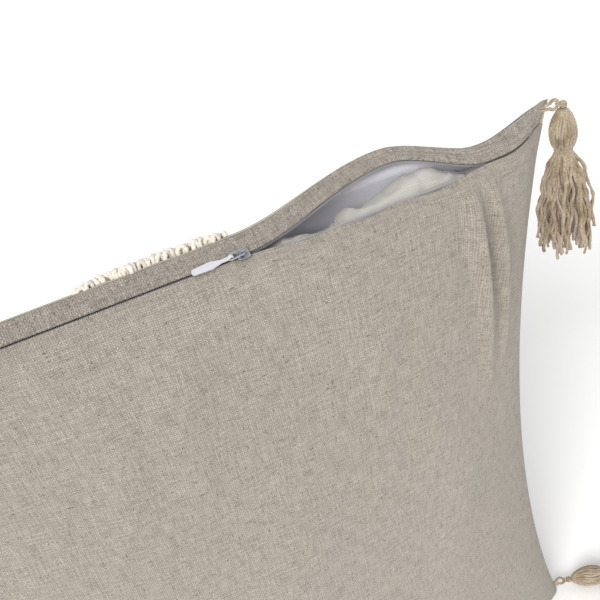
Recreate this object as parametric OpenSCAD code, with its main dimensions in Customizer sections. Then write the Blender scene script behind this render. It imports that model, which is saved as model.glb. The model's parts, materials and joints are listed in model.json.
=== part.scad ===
// Throw pillow with a zipped linen cover, a filled insert and a yarn tassel at each corner.
// It stands on its bottom edge: +X is its width, +Y its tufted front, -Y its zipped back, +Z up.

/* [Cover] */
// Width of the cover, from corner to corner
cover_w = 450; // [370:5:560]
// Height of the cover, from its flat base to its top corners
cover_h = 450; // [370:5:560]
// Greatest depth, from the back to the front tufts
cover_d = 140; // [112:2:170]
// How far each side pulls in between its corners
side_pull = 32; // [16:1:40]
// How far the top edge dips between its corners
top_dip = 12; // [6:1:18]
// Width of the flat base at mid width
base_w = 50; // [40:2:64]
// Thickness of the linen
linen_t = 1.2; // [0.8:0.1:1.6]
// Thickness of the white lining behind the front
lining_t = 0.6; // [0.4:0.1:1]

/* [Zip] */
// Length of the zip between its stops
zip_l = 348; // [280:2:350]
// Width of the folded linen flap above the zip
flap_w = 13; // [11:0.5:18]
// Thickness of the folded flap
flap_t = 2; // [1.6:0.1:2.6]
// Angle of the flap below level, at mid width
flap_tilt = 20; // [10:1:35]
// Gap between the flap's edge and the back panel's edge
zip_gap = 2; // [1.8:0.1:3]
// Width of each woven tape
tape_w = 10; // [8:0.5:10.5]
// Thickness of each tape
tape_t = 0.6; // [0.4:0.1:0.8]
// Diameter of each nylon coil
coil_d = 1.8; // [1.4:0.1:2]
// Where the slider stands along the zip, from mid width
slider_x = 20; // [-60:1:60]
// How far the upper lip stands back from the lower one at the mouth's widest place
mouth_gap = 24; // [16:1:30]
// Widest place of the mouth, as a share of its length from the slider
mouth_peak = 0.66; // [0.4:0.02:0.7]

/* [Slider] */
// Length of the slider along the zip
slider_l = 7.5; // [6:0.5:9]
// Width of the slider across the zip
slider_w = 6.5; // [6:0.5:8]
// Thickness of each slider plate
plate_t = 1; // [0.8:0.1:1.2]
// Diameter of the pull link's wire
wire_d = 1; // [0.8:0.1:1.2]
// Length of the pull link, between its two cross wires
link_l = 7; // [6:0.5:9]
// Length of the pull tab
tab_l = 23; // [16:1:30]
// Width of the pull tab
tab_w = 5; // [4:0.5:7]
// Thickness of the pull tab
tab_t = 1.2; // [1:0.1:1.6]

/* [Insert] */
// Room between the insert and the cover at each side
insert_side = 10; // [6:1:16]
// Room between the insert and the cover's top edge
insert_top = 15; // [12:1:22]
// Room between the insert and the cover at the deepest place of each face
insert_face = 5; // [4:0.5:9]
// Thickness of the insert's cloth
insert_t = 0.8; // [0.5:0.1:1]

/* [Front tufting] */
// Number of tufted zigzag rows
tuft_rows = 5; // [3:1:7]
// Width of a tufted row
tuft_w = 16; // [10:1:22]
// Height of the tufts above the front
tuft_h = 5; // [3:0.5:7]

/* [Tassels] */
// Diameter of the cord loop that a tassel hangs from
loop_d = 8; // [7:0.5:10]
// Diameter of the loop's cord
loop_cord = 2; // [1.6:0.1:2.4]
// Diameter of the wrapped head
head_d = 14; // [11:1:17]
// Height of the wrapped head
head_h = 24; // [18:1:28]
// Diameter of the yarn binding at the neck
neck_d = 12; // [9:1:13]
// Height of the neck binding
neck_h = 5; // [4:0.5:7]
// Length of the skirt of cut yarn
skirt_l = 60; // [45:1:75]
// Diameter of the skirt at its cut end
skirt_d = 32; // [24:1:36]
// Angle by which the lower tassels lie towards the back
lower_splay = 25; // [0:5:30]

/* [Hidden] */

linen = "#b9afa3";
white = "#e6e4e8";
cream = "#e3d5bd";
steel = "#b9bcc2";

half_w = cover_w / 2;
zip_half = zip_l / 2;
// The gap between pieces that move apart, and between layers of cloth
clear = 0.3;
// How full the faces are: a smaller power gives rounder edges
fullness = 0.55;
// The corners rise over the stretch beyond the zip's straight run
straight = min(0.9, (zip_half + 6) / half_w);
corner_tilt = 84;
sides = 26;
layers = 26;

function clamp(t) = max(0, min(1, t));
function smooth(t) = clamp(t) * clamp(t) * (3 - 2 * clamp(t));
function mix(a, b, t) = a + (b - a) * t;
function corner(u) = smooth((abs(u) - straight) / (1 - straight));

// Outline of the cover
function side_x(z) = half_w - side_pull * 4 * clamp(z / cover_h) * (1 - clamp(z / cover_h));
function ridge_z(u) = cover_h - top_dip * (1 - corner(u));
function tilt(u) = mix(flap_tilt, corner_tilt, corner(u));
// The faces keep a little depth where they reach the side seams
edge_share = 0.003;
function thin(u) = pow(max(edge_share, 1 - u * u), fullness);
function base_y(u) = base_w / 2 * thin(u);

// A place near the zip: t runs down the flap from the ridge, n stands out from it
function flap_at(u, t, n) = [
    u * side_x(ridge_z(u) - t * sin(tilt(u))),
    -t * cos(tilt(u)) - (n + flap_t) * sin(tilt(u)) - 2 * clear,
    ridge_z(u) - t * sin(tilt(u)) + n * cos(tilt(u))
];
zip_t = flap_w + zip_gap / 2;
function at_x(x) = x / side_x(zip_z);
function x_at(u) = u * side_x(zip_z);

// The mouth: the flap and the top of the front turn back about a line inside the front
mouth_end = zip_half;
peak_x = mix(slider_x, mouth_end, mouth_peak);
hinge_z = cover_h - top_dip - 120;
hinge_y = cover_d * 0.36;
hinge_fade = 40;
zip_y = flap_at(0, zip_t, 0)[1];
zip_z = flap_at(0, zip_t, 0)[2];
mouth_turn = mouth_gap / norm([zip_y - hinge_y, zip_z - hinge_z]) * 180 / PI;
function mouth(x) = x < peak_x ? smooth((x - slider_x) / (peak_x - slider_x))
                               : smooth((mouth_end - x) / (mouth_end - peak_x));
function open_turn(p) = mouth_turn * mouth(p[0]) * smooth((p[2] - hinge_z) / hinge_fade);
function turned(p, a) = [
    p[0],
    hinge_y + (p[1] - hinge_y) * cos(a) + (p[2] - hinge_z) * sin(a),
    hinge_z - (p[1] - hinge_y) * sin(a) + (p[2] - hinge_z) * cos(a)
];
function opened(p) = turned(p, open_turn(p));

// The faces: v runs from -1 at the bottom seam to 0 at the base's edge and 1 at the top
function dome(u, v) = pow(max(0, 4 * v * (1 - v)), fullness) * thin(u);
// The flat base adds this much to each face's depth at its deepest place
belly = base_w * 0.275;
back_rise = cover_d / 2 - belly;
front_rise = back_rise - tuft_h;
// The back panel's edge lies a little lower than the flap's, so the slider clears both
edge_drop = (slider_w - zip_gap) / 2 * sin(flap_tilt);
function back_at(u, v) =
    let (edge = flap_at(u, flap_w + zip_gap, -edge_drop), z = edge[2] * max(0, v))
    v < 0 ? [u * half_w, -base_y(u) * (1 + v), 0]
          : [
                u * side_x(z),
                edge[1] * pow(v, 6) - base_y(u) * (1 - v) - back_rise * dome(u, v),
                z
            ];
function front_at(u, v) =
    let (z = ridge_z(u) * max(0, v))
    v < 0 ? [u * half_w, base_y(u) * (1 + v), 0]
          : opened([u * side_x(z), base_y(u) * (1 - v) + front_rise * dome(u, v), z]);

insert_sx = 1 - insert_side / half_w;
insert_sz = 1 - insert_top / (cover_h - top_dip);
insert_rise = front_rise - insert_face;
insert_z = linen_t + lining_t + 2 * clear;
function insert_at(u, v, side) =
    let (z = ridge_z(u) * max(0, v))
    v < 0 ? [u * half_w * insert_sx, side * (2 * clear + base_y(u) * insert_sx * (1 + v)), insert_z]
          : [
                u * side_x(z) * insert_sx,
                side * (2 * clear + base_y(u) * insert_sx * (1 - v) + insert_rise * dome(u, v)),
                z * insert_sz + insert_z
            ];

// The unit normal of a surface that a function of (u, v) gives
step = 0.002;
function normal_at(f, u, v) =
    let (
        du = f(min(1, u + step), v) - f(max(-1, u - step), v),
        dv = f(u, min(1, v + step)) - f(u, max(-1, v - step)),
        n = cross(du, dv)
    ) n / norm(n);
function offset_at(f, u, v, depth) = f(u, v) + normal_at(f, u, v) * depth;

// Places along a face, closer together near its edges
function spread(n, low, high) = [for (i = [0:n]) mix(low, high, (1 - cos(180 * i / n)) / 2)];
function even(n, low, high) = [for (i = [0:n]) mix(low, high, i / n)];
across = spread(sides, -1, 1);
upward = concat([-1, -0.5], spread(layers, 0, 1));

// A closed skin between two surfaces; v_at gives the v of a row at each u
module skin(f, g, us, rows, v_at = function (u, row) row) {
    nu = len(us);
    nv = len(rows);
    count = nu * nv;
    points = concat(
        [for (u = us) for (r = rows) f(u, v_at(u, r))],
        [for (u = us) for (r = rows) g(u, v_at(u, r))]
    );
    function id(i, j, k) = k * count + i * nv + j;
    faces = concat(
        [for (i = [0:nu - 2]) for (j = [0:nv - 2]) each [
            [id(i, j, 0), id(i + 1, j, 0), id(i + 1, j + 1, 0)],
            [id(i, j, 0), id(i + 1, j + 1, 0), id(i, j + 1, 0)],
            [id(i, j, 1), id(i + 1, j + 1, 1), id(i + 1, j, 1)],
            [id(i, j, 1), id(i, j + 1, 1), id(i + 1, j + 1, 1)]
        ]],
        [for (i = [0:nu - 2]) each [
            [id(i, 0, 0), id(i + 1, 0, 1), id(i + 1, 0, 0)],
            [id(i, 0, 0), id(i, 0, 1), id(i + 1, 0, 1)],
            [id(i, nv - 1, 0), id(i + 1, nv - 1, 0), id(i + 1, nv - 1, 1)],
            [id(i, nv - 1, 0), id(i + 1, nv - 1, 1), id(i, nv - 1, 1)]
        ]],
        [for (j = [0:nv - 2]) each [
            [id(0, j, 0), id(0, j + 1, 0), id(0, j + 1, 1)],
            [id(0, j, 0), id(0, j + 1, 1), id(0, j, 1)],
            [id(nu - 1, j, 0), id(nu - 1, j + 1, 1), id(nu - 1, j + 1, 0)],
            [id(nu - 1, j, 0), id(nu - 1, j, 1), id(nu - 1, j + 1, 1)]
        ]]
    );
    polyhedron(points, faces);
}

// A sheet between two offsets of one surface
module sheet(f, us, rows, low, high, v_at = function (u, row) row)
    skin(
        function (u, v) offset_at(f, u, v, low), function (u, v) offset_at(f, u, v, high),
        us, rows, v_at
    );

// A closed bar whose section is the list of points that ring(u) gives
module bar(us, ring) {
    n = len(ring(us[0]));
    points = [for (u = us) each ring(u)];
    last = (len(us) - 1) * n;
    faces = concat(
        [for (i = [0:len(us) - 2]) for (j = [0:n - 1]) each [
            [i * n + j, (i + 1) * n + (j + 1) % n, (i + 1) * n + j],
            [i * n + j, i * n + (j + 1) % n, (i + 1) * n + (j + 1) % n]
        ]],
        [[for (j = [n - 1:-1:0]) j], [for (j = [0:n - 1]) last + j]]
    );
    polyhedron(points, faces);
}

back = function (u, v) back_at(u, v);
front = function (u, v) front_at(u, v);

// Cover
module back_panel() {
    color(linen)
        sheet(back, across, upward, -linen_t, 0);
}

module front_panel() {
    color(cream)
        sheet(front, across, upward, 0, linen_t);
}

// The lining follows the front panel's own places, so it stays clear of it
lining_from = linen_t + 3 * clear;
lining_us = [for (u = across) if (abs(u) < 0.94) u];
lining_rows = [for (v = upward) if (v > 0.03 && v < 0.97) v];
module front_lining() {
    color(white)
        sheet(front, lining_us, lining_rows, lining_from, lining_from + lining_t);
}

flap_us = even(60, -1, 1);
module zipper_flap() {
    color(linen)
        bar(flap_us, function (u) [
            opened(flap_at(u, 0, 0)),
            opened(flap_at(u, flap_w, 0)),
            opened(flap_at(u, flap_w, -flap_t)),
            opened(flap_at(u, 0, -flap_t))
        ]);
}

// One row of stitches a third of the way down the flap
stitch_l = 3;
stitch_pitch = 4.5;
stitch_w = 0.5;
module flap_stitching() {
    low = clear;
    reach = straight * half_w;
    color(white)
        for (x = [-reach:stitch_pitch:reach]) {
            u0 = at_x(x);
            u1 = at_x(x + stitch_l);
            bar([u0, u1], function (u) [
                opened(flap_at(u, flap_w / 3, low + stitch_w)),
                opened(flap_at(u, flap_w / 3 + stitch_w, low)),
                opened(flap_at(u, flap_w / 3 - stitch_w, low))
            ]);
        }
}

// Zigzag rows of tufts that follow the front
tuft_low = 0.14;
tuft_high = 0.88;
zigzag = 0.045;
zigzags = 4;
function zig(u) = 2 * abs(2 * (u * zigzags / 2 - floor(u * zigzags / 2)) - 1) - 1;
module front_tufting() {
    half_v = tuft_w / cover_h / 2;
    color(cream)
        for (k = [0:tuft_rows - 1]) {
            row_v = mix(tuft_low, tuft_high, k / (tuft_rows - 1));
            sheet(
                front, even(40, -0.9, 0.9), [-half_v, 0, half_v], -tuft_h, -4 * clear,
                function (u, row) row_v + zigzag * zig(u) + row
            );
        }
}

// Insert
insert_rows = concat([-1, -0.5], spread(18, 0, 1));
insert_us = spread(18, -1, 1);
insert_back_at = function (u, v) insert_at(u, v, -1);
insert_front_at = function (u, v) insert_at(u, v, 1);
module insert_back() {
    color(white)
        sheet(insert_back_at, insert_us, insert_rows, -insert_t, 0);
}

module insert_front() {
    color(white)
        sheet(insert_front_at, insert_us, insert_rows, 0, insert_t);
}

// The filling is the same form, a little smaller, so it stays inside the insert's cloth
fill_scale = 1 - 2 * (insert_t + clear) / (cover_d - base_w);
fill_z = insert_z + insert_t + clear;
function fill_at(u, v, side) =
    let (p = insert_at(u, v, side))
    [p[0] * fill_scale, p[1] * fill_scale, (p[2] - insert_z) * fill_scale + fill_z];
module insert_filling() {
    color(white)
        skin(
            function (u, v) fill_at(u, v, 1), function (u, v) fill_at(u, v, -1),
            spread(16, -0.99, 0.99), spread(16, 0, 0.995)
        );
}

// Zip: each tape carries one coil, and the coils meet where the slider has closed them
neck_w = zip_gap - 2 * clear;
coil_n = -(flap_t + clear + coil_d / 2);
coil_us = even(70, at_x(-zip_half), at_x(zip_half));
// The coils lie close together, and part around the slider's neck and beyond it
function parted(x) = smooth((x - slider_x + slider_l) / (slider_l / 2)) * neck_w / 2;
function coil_t(x) = coil_d / 2 + clear / 2 + parted(x);
module coil(side, place)
    bar(coil_us, function (u) [
        for (k = [0:5]) place(flap_at(
            u,
            zip_t + side * coil_t(x_at(u)) + coil_d / 2 * cos(60 * k),
            coil_n + coil_d / 2 * sin(60 * k)
        ))
    ]);

module zipper_coil_upper() {
    color(white)
        coil(-1, function (p) opened(p));
}

module zipper_coil_lower() {
    color(white)
        coil(1, function (p) p);
}

module zipper_tape_upper() {
    edge_t = zip_t - coil_d - 3 * clear - neck_w / 2;
    color(white)
        bar(coil_us, function (u) [
            opened(flap_at(u, zip_t - tape_w - clear, -flap_t - clear)),
            opened(flap_at(u, edge_t, -flap_t - clear)),
            opened(flap_at(u, edge_t, -flap_t - clear - tape_t)),
            opened(flap_at(u, zip_t - tape_w - clear, -flap_t - clear - tape_t))
        ]);
}

// How far down the back panel a given distance from its top edge lies
function back_drop(d) = pow(d / back_rise, 1 / fullness) / 4;
module zipper_tape_lower() {
    rows = even(5, back_drop(tape_w * 0.95), back_drop(coil_d + 5 * clear));
    color(white)
        sheet(
            back, coil_us, rows, -linen_t - 2 * clear - tape_t, -linen_t - 2 * clear,
            function (u, row) 1 - row
        );
}

// Stops clamped under the ends of the coils
stop_l = 3;
stop_t = 0.7;
module zip_stop(x, t, width, place) {
    top = coil_n - coil_d / 2 - clear / 3;
    bar([at_x(x), at_x(x + stop_l)], function (u) [
        place(flap_at(u, t - width / 2, top)),
        place(flap_at(u, t + width / 2, top)),
        place(flap_at(u, t + width / 2, top - stop_t)),
        place(flap_at(u, t - width / 2, top - stop_t))
    ]);
}

module zipper_top_stops() {
    x = zip_half - stop_l;
    color(steel) {
        zip_stop(x, zip_t - coil_t(x), coil_d * 0.8, function (p) opened(p));
        zip_stop(x, zip_t + coil_t(x), coil_d * 0.8, function (p) p);
    }
}

module zipper_bottom_stop() {
    color(steel)
        zip_stop(-zip_half, zip_t, 2 * coil_d, function (p) p);
}

// Slider, in its own frame: x along the zip, y up the flap, z out of the cloth
module at_slider() {
    c = flap_at(0, zip_t, 0);
    translate([slider_x, c[1], c[2]])
        rotate([flap_tilt, 0, 0])
            children();
}

plate_low = coil_n - coil_d / 2 - clear - plate_t;
plate_high = clear;
bridge_w = 2;
bridge_l = 4.4;
bore_clear = 0.25;
bore_wall = 0.8;
bore_r = wire_d / 2 + bore_clear;
bore_z = plate_high + plate_t + 2;
module plate(z)
    translate([0, 0, z])
        linear_extrude(plate_t)
            hull()
                for (x = [-1, 1], y = [-1, 1])
                    translate([x * (slider_l / 2 - 1.5), y * (slider_w / 2 - 1.5)])
                        circle(r = 1.5, $fn = 32);

module slider_body() {
    color(steel)
        at_slider() {
            plate(plate_low);
            plate(plate_high);
            translate([0, 0, (plate_low + plate_high + plate_t) / 2])
                cube([slider_l / 2, neck_w, plate_high - plate_low], center = true);
        }
}

// The bridge stands on the upper plate and carries the pull link
module slider_bridge() {
    top = bore_r + bore_wall;
    color(steel)
        at_slider()
            difference() {
                translate([0, bridge_w / 2, 0])
                    rotate([90, 0, 0])
                        linear_extrude(bridge_w)
                            union() {
                                translate([0, bore_z]) circle(r = top, $fn = 48);
                                translate([-bridge_l / 2, plate_high + plate_t])
                                    square([bridge_l, bore_z - plate_high - plate_t]);
                            }
                translate([0, 0, bore_z])
                    rotate([90, 0, 0])
                        cylinder(r = bore_r, h = 2 * bridge_w, center = true, $fn = 48);
            }
}

// The link's near wire turns in the bridge, and the tab hangs from its far wire
link_half = bridge_w / 2 + clear + wire_d / 2;
eye_r = bore_r + bore_wall;
far_z = clear + eye_r;
link_tilt = asin((bore_z - far_z) / link_l);
module wire(from, to)
    translate(from)
        rotate([0, acos((to - from)[2] / norm(to - from)), atan2((to - from)[1], (to - from)[0])])
            cylinder(d = wire_d, h = norm(to - from), $fn = 24);

module at_link()
    at_slider()
        translate([0, 0, bore_z])
            rotate([0, -link_tilt, 0])
                children();

module pull_link() {
    color(steel)
        at_link() {
            for (x = [0, -link_l])
                wire([x, -link_half, 0], [x, link_half, 0]);
            for (y = [-1, 1]) {
                wire([0, y * link_half, 0], [-link_l, y * link_half, 0]);
                for (x = [0, -link_l])
                    translate([x, y * link_half, 0])
                        sphere(d = wire_d, $fn = 24);
            }
        }
}

// A leaf-shaped tab with an eye at its near end
tab_tilt = asin((eye_r - tab_t / 2) / tab_l);
module at_tab()
    at_slider()
        translate([-link_l * cos(link_tilt), 0, far_z])
            rotate([0, -tab_tilt, 0])
                children();

module pull_tab() {
    neck = bridge_w;
    color(white)
        at_tab()
            difference() {
                union() {
                    rotate([90, 0, 0])
                        cylinder(r = eye_r, h = neck, center = true, $fn = 48);
                    translate([0, 0, -tab_t / 2])
                        linear_extrude(tab_t)
                            union() {
                                translate([-tab_l / 3, -neck / 2])
                                    square([tab_l / 3, neck]);
                                hull() {
                                    translate([-tab_l / 4, 0])
                                        circle(d = neck, $fn = 32);
                                    translate([-tab_l / 2, 0])
                                        circle(d = tab_w, $fn = 32);
                                    translate([tab_w / 2 - tab_l, 0])
                                        circle(d = tab_w * 0.8, $fn = 32);
                                }
                            }
                }
                rotate([90, 0, 0])
                    cylinder(r = bore_r, h = 2 * neck, center = true, $fn = 48);
            }
}

// Tassels: a loop sewn into the corner, a knot on it, then head, binding and skirt
knot_r = 2.6;
knot_from = loop_d / 2 + clear + knot_r;
head_from = knot_r + clear;
tassel_l = head_h + neck_h + skirt_l + 2 * clear;
low_z = head_d / 2 + clear;
low_rise = asin((skirt_d - head_d) / 2 / tassel_l);
loop_x = half_w + loop_d / 2 + clear;
top_loop_z = cover_h - 5;
// The knot hangs from the outer side of its loop, this far round from the loop's lowest place
hang = 75;
knot_x = loop_x + knot_from * sin(hang);
knot_z = top_loop_z - knot_from * cos(hang);

// side is -1 at the left and 1 at the right
module top_place(side)
    translate([side * knot_x, 0, knot_z])
        children();

module low_place(side)
    translate([side * loop_x, 0, low_z])
        rotate([0, 0, -side * lower_splay])
            rotate([0, -side * (90 + low_rise), 0])
                translate([0, 0, -knot_from])
                    children();

module loop_ring()
    rotate([90, 0, 0])
        rotate_extrude($fn = 64)
            translate([(loop_d - loop_cord) / 2, 0])
                circle(d = loop_cord, $fn = 24);

module top_loop(side)
    color(cream)
        translate([side * loop_x, 0, top_loop_z])
            loop_ring();

module low_loop(side)
    color(cream)
        translate([side * loop_x, 0, low_z])
            rotate([90, 0, 0])
                loop_ring();

module knot()
    color(cream)
        sphere(r = knot_r, $fn = 32);

module head()
    color(cream)
        rotate_extrude($fn = 64)
            polygon(concat(
                [[0, -head_from - head_h]],
                [for (k = [0:12]) let (f = k / 12, a = 180 * f) [
                    mix(neck_d / 2 - 1, 0, pow(f, 3)) + (head_d / 2 - neck_d / 2 + 1) * sin(a),
                    -head_from - head_h * (1 - f)
                ]]
            ));

module binding()
    color(cream)
        rotate_extrude($fn = 64)
            polygon(concat(
                [[0, -head_from - head_h - neck_h], [0, -head_from - head_h - clear / 3]],
                [for (k = [0:8]) [
                    neck_d / 2 - 1 + sin(180 * k / 8),
                    -head_from - head_h - clear / 3 - (neck_h - clear / 3) * k / 8
                ]]
            ));

module skirt() {
    top = -head_from - head_h - neck_h - clear / 3;
    color(cream)
        rotate_extrude($fn = 64)
            polygon([
                [0, top],
                [neck_d / 2 - 1, top],
                [mix(neck_d, skirt_d, 0.6) / 2, top - skirt_l * 0.35],
                [skirt_d / 2 - 1, top - skirt_l * 0.75],
                [skirt_d / 2, top - skirt_l],
                [0, top - skirt_l]
            ]);
}

back_panel();
zipper_flap();
front_panel();
front_lining();
front_tufting();
flap_stitching();
insert_back();
insert_front();
insert_filling();
zipper_tape_upper();
zipper_tape_lower();
zipper_coil_upper();
zipper_coil_lower();
zipper_top_stops();
zipper_bottom_stop();
slider_body();
slider_bridge();
pull_link();
pull_tab();
top_loop(-1);  // hanging_loop_top_left
top_place(-1) knot();  // tassel_knot_top_left
top_place(-1) head();  // tassel_head_top_left
top_place(-1) binding();  // tassel_binding_top_left
top_place(-1) skirt();  // tassel_skirt_top_left
top_loop(1);  // hanging_loop_top_right
top_place(1) knot();  // tassel_knot_top_right
top_place(1) head();  // tassel_head_top_right
top_place(1) binding();  // tassel_binding_top_right
top_place(1) skirt();  // tassel_skirt_top_right
low_loop(-1);  // hanging_loop_low_left
low_place(-1) knot();  // tassel_knot_low_left
low_place(-1) head();  // tassel_head_low_left
low_place(-1) binding();  // tassel_binding_low_left
low_place(-1) skirt();  // tassel_skirt_low_left
low_loop(1);  // hanging_loop_low_right
low_place(1) knot();  // tassel_knot_low_right
low_place(1) head();  // tassel_head_low_right
low_place(1) binding();  // tassel_binding_low_right
low_place(1) skirt();  // tassel_skirt_low_right
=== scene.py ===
# %% [markdown]
# # A linen throw pillow with its zip half open
# The pillow stands on its bottom edge. Its plain linen back faces -Y, its tufted front faces +Y,
# and the zip runs along the top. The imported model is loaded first: it is the fixed frame that
# every piece below is built around, in metres.

# %% The frame
import bpy, bmesh, json, math
import numpy as np
from mathutils import Matrix, Vector


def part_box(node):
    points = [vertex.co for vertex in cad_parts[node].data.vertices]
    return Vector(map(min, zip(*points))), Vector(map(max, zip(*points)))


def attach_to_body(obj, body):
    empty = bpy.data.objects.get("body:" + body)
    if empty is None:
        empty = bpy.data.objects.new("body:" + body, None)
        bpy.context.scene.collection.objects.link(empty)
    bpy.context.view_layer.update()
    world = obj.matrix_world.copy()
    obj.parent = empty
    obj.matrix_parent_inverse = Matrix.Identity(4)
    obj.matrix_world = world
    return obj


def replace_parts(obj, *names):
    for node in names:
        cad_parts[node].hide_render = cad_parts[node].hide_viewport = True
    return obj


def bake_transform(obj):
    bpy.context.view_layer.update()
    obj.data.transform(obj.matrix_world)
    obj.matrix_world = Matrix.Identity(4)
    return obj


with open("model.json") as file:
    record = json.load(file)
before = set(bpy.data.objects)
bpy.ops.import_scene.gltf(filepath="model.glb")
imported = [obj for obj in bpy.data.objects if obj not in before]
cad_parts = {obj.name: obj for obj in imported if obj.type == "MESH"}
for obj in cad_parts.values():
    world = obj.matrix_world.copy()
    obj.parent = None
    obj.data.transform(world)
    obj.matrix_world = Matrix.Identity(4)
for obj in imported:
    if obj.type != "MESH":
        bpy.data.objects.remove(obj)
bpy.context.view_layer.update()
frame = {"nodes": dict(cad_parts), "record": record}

# %% [markdown]
# The cover's form is two crowned faces sewn round their edge. A face is a function of u, from -1
# at the left seam to 1 at the right one, and v, from -1 under the pillow through 0 at the base's
# edge to 1 at the top. Building from one pair of numbers keeps the weave running along the cloth,
# and lets every trim find its place. The sizes are the design's own.

# %% The form's sizes
half_w, cover_h, depth, base_half = 0.225, 0.450, 0.140, 0.025
side_pull, top_dip, fullness = 0.032, 0.012, 0.55
flap_w, flap_t, zip_gap, zip_half = 0.013, 0.002, 0.002, 0.174
flap_tilt, corner_tilt, gap = math.radians(20), math.radians(84), 0.0003
slider_x, tuft_h = 0.020, 0.005
straight = (zip_half + 0.006) / half_w
back_rise = depth / 2 - 2 * base_half * 0.275
front_rise = back_rise - tuft_h
edge_drop = 0.00225 * math.sin(flap_tilt)


def smooth(t):
    t = np.clip(t, 0, 1)
    return t * t * (3 - 2 * t)


def corner(u):
    return smooth((np.abs(u) - straight) / (1 - straight))


def thin(u):
    return np.maximum(0, 1 - u * u) ** fullness


def side_x(z):
    f = np.clip(z / cover_h, 0, 1)
    return half_w - side_pull * 4 * f * (1 - f)


def ridge_z(u):
    return cover_h - top_dip * (1 - corner(u))


def pinch(u):
    """The layers close up where the flap runs out into the corner."""
    return 0.12 + 0.88 * smooth((1 - np.abs(u)) / 0.07)


def flap_at(u, t, n):
    """A place near the zip: t runs down the flap from the ridge, n stands out from it."""
    tilt = flap_tilt + (corner_tilt - flap_tilt) * corner(u)
    z = ridge_z(u) - t * np.sin(tilt)
    y = -t * np.cos(tilt) - (n + flap_t) * np.sin(tilt) - 2 * gap
    return np.stack([u * side_x(z), y * pinch(u), z + n * np.cos(tilt)], -1)


# %% [markdown]
# The open mouth turns the flap and the top of the front about a line inside the front. The turn
# grows smoothly from the slider to the mouth's widest place and dies out at the zip's end, just
# as the frame's hinge turns it back when the slider closes the zip.

# %% The mouth
lip = next(j for j in frame["record"]["behaviour"]["joints"] if j["name"] == "upper_lip_turn")
hinge_y, hinge_z = lip["pos_m"][1], lip["pos_m"][2]
zip_place = flap_at(np.array(0.0), flap_w + zip_gap / 2, 0)
peak_x = slider_x + 0.66 * (zip_half - slider_x)
mouth_turn = 0.024 / math.hypot(zip_place[1] - hinge_y, zip_place[2] - hinge_z)
print("hinge", hinge_y, hinge_z, "turn", math.degrees(mouth_turn), "peak", peak_x)


def mouth(x):
    rising = smooth((x - slider_x) / (peak_x - slider_x))
    return np.where(x < peak_x, rising, smooth((zip_half - x) / (zip_half - peak_x)))


def opened(p):
    a = mouth_turn * mouth(p[..., 0]) * smooth((p[..., 2] - hinge_z) / 0.040)
    y, z = p[..., 1] - hinge_y, p[..., 2] - hinge_z
    return np.stack([p[..., 0], hinge_y + y * np.cos(a) + z * np.sin(a),
                     hinge_z - y * np.sin(a) + z * np.cos(a)], -1)


def dome(u, v):
    return np.maximum(0, 4 * v * (1 - v)) ** fullness * thin(u)


def back_at(u, v):
    edge = flap_at(u, flap_w + zip_gap, -edge_drop)
    up = np.maximum(v, 0)
    z = edge[..., 2] * up
    y = edge[..., 1] * up ** 6 - base_half * thin(u) * (1 - v) - back_rise * dome(u, v)
    x = u * side_x(z)
    low = v < 0
    return np.stack([np.where(low, u * half_w, x),
                     np.where(low, -base_half * thin(u) * (1 + v), y), np.where(low, 0, z)], -1)


def front_flat(u, v):
    up = np.maximum(v, 0)
    z = ridge_z(u) * up
    low = v < 0
    y = np.where(low, base_half * thin(u) * (1 + v), base_half * thin(u) * (1 - v) + front_rise * dome(u, v))
    return np.stack([np.where(low, u * half_w, u * side_x(z)), y, z], -1)


def front_at(u, v):
    return opened(front_flat(u, v))


# %% [markdown]
# Small helpers: one makes a mesh from a grid of points and gives it a UV map in metres of cloth,
# and one gathers separate tubes into one mesh. Woven threads then have their true spacing.

# %% Mesh helpers
def cloth_lengths(points):
    """Distances along the cloth, across and upwards, from its middle column and first row."""
    across = np.zeros(points.shape[:2])
    up = np.zeros(points.shape[:2])
    across[1:] = np.cumsum(np.linalg.norm(np.diff(points, axis=0), axis=2), 0)
    up[:, 1:] = np.cumsum(np.linalg.norm(np.diff(points, axis=1), axis=2), 1)
    across -= across[len(points) // 2]
    return across.mean(1)[:, None] * np.ones_like(across), up.mean(0)[None, :] * np.ones_like(up)


def new_piece(name, points, faces, uv=None):
    mesh = bpy.data.meshes.new(name)
    mesh.from_pydata([tuple(p) for p in points], [], [tuple(f) for f in faces])
    if uv is not None:
        layer = mesh.uv_layers.new(name="cloth")
        loops = np.empty(len(mesh.loops), int)
        mesh.loops.foreach_get("vertex_index", loops)
        layer.data.foreach_set("uv", np.asarray(uv, np.float32)[loops].ravel())
    mesh.polygons.foreach_set("use_smooth", [True] * len(mesh.polygons))
    mesh.update()
    piece = bpy.data.objects.new(name, mesh)
    bpy.context.scene.collection.objects.link(piece)
    return piece


def grid_faces(nu, nv, flip=False):
    i, j = np.meshgrid(np.arange(nu - 1), np.arange(nv - 1), indexing="ij")
    k = i * nv + j
    f = np.stack([k, k + nv, k + nv + 1, k + 1], -1).reshape(-1, 4)
    return f[:, ::-1] if flip else f


def cloth_piece(name, points, flip=False):
    across, up = cloth_lengths(points)
    nu, nv = points.shape[:2]
    flat = np.stack([across, up], -1).reshape(-1, 2)
    return new_piece(name, points.reshape(-1, 3), grid_faces(nu, nv, flip), flat)


def points_of(piece):
    co = np.empty(len(piece.data.vertices) * 3)
    piece.data.vertices.foreach_get("co", co)
    return co.reshape(-1, 3)


def set_points(piece, co):
    piece.data.vertices.foreach_set("co", np.asarray(co, float).ravel())
    piece.data.update()


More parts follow.
